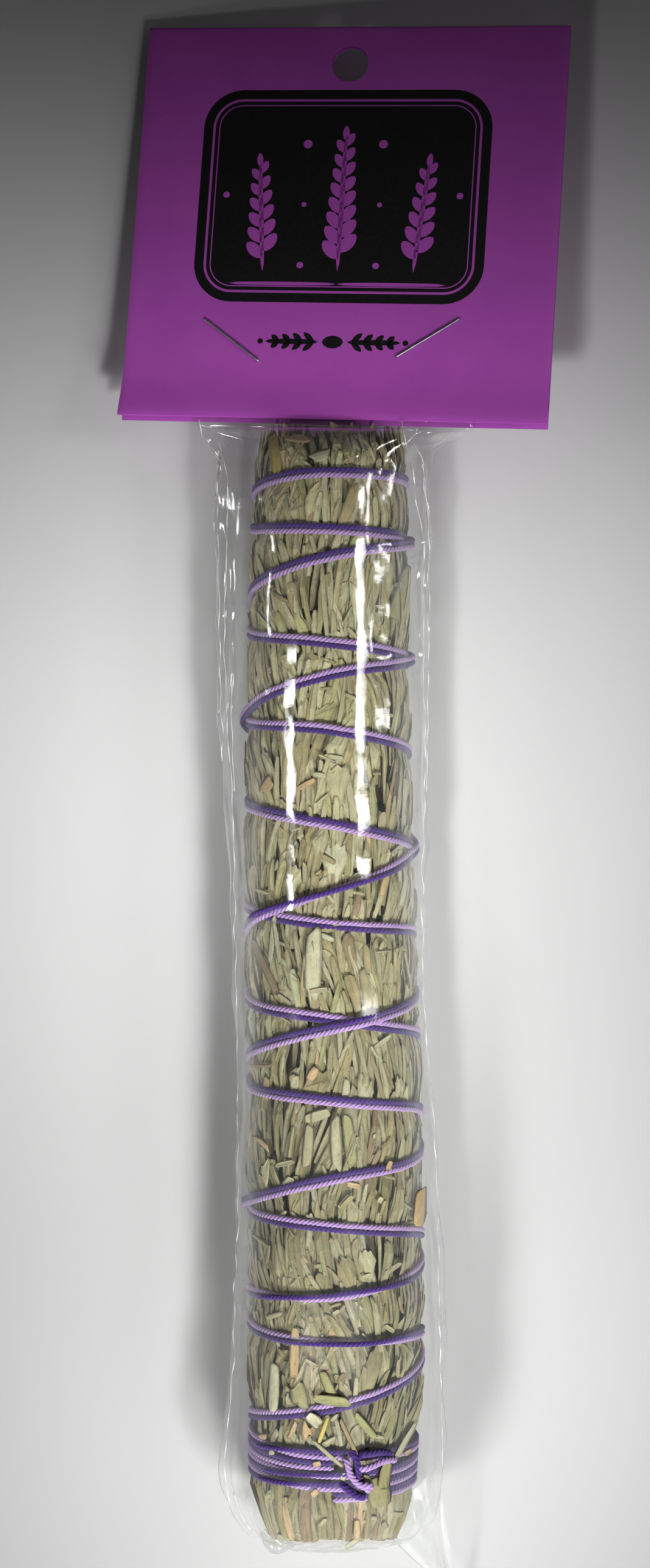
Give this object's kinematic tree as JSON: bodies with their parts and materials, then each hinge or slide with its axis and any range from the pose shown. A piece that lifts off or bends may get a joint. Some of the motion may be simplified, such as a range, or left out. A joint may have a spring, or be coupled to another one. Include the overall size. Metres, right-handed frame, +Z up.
{
  "type": "sage smudge stick",
  "caption": "Dried sage bundle bound criss-cross with doubled cotton thread, lying in a clear bag closed by a folded, stapled header card with a hang hole.",
  "frame": {"origin": "under the middle of the whole packed stick, on the surface it lies on", "axes": "+Y along the stick from its cut stems to its leaf tips and the header card, +Z up, +X to the right seen from above with the card at the top"},
  "size_m": [0.0804, 0.2848, 0.0337],
  "materials": {
    "sage_leaf": "dry grey-green leaf, matte and felted",
    "sage_heart": "dry brown-green inner leaf and stem",
    "cotton_dark": "plied cotton thread, dark purple",
    "cotton_light": "plied cotton thread, lilac",
    "clear_film": "clear crinkled cellophane",
    "purple_card": "purple card stock, faint sheen",
    "staple_wire": "zinc-coated flat wire"
  },
  "bodies": {
    "root": {"sage_sprig_01": "sage_leaf", "sage_sprig_02": "sage_leaf", "sage_sprig_03": "sage_leaf", "sage_sprig_04": "sage_leaf", "sage_sprig_05": "sage_leaf", "sage_sprig_06": "sage_leaf", "sage_sprig_07": "sage_leaf", "sage_sprig_08": "sage_leaf", "sage_sprig_09": "sage_leaf", "sage_sprig_10": "sage_leaf", "heart_sprig_1": "sage_heart", "heart_sprig_2": "sage_heart", "heart_sprig_3": "sage_heart", "heart_sprig_4": "sage_heart", "thread_dark": "cotton_dark", "thread_light": "cotton_light", "clear_bag": "clear_film", "header_card": "purple_card", "staple_left": "staple_wire", "staple_right": "staple_wire"}
  },
  "joints": []
}
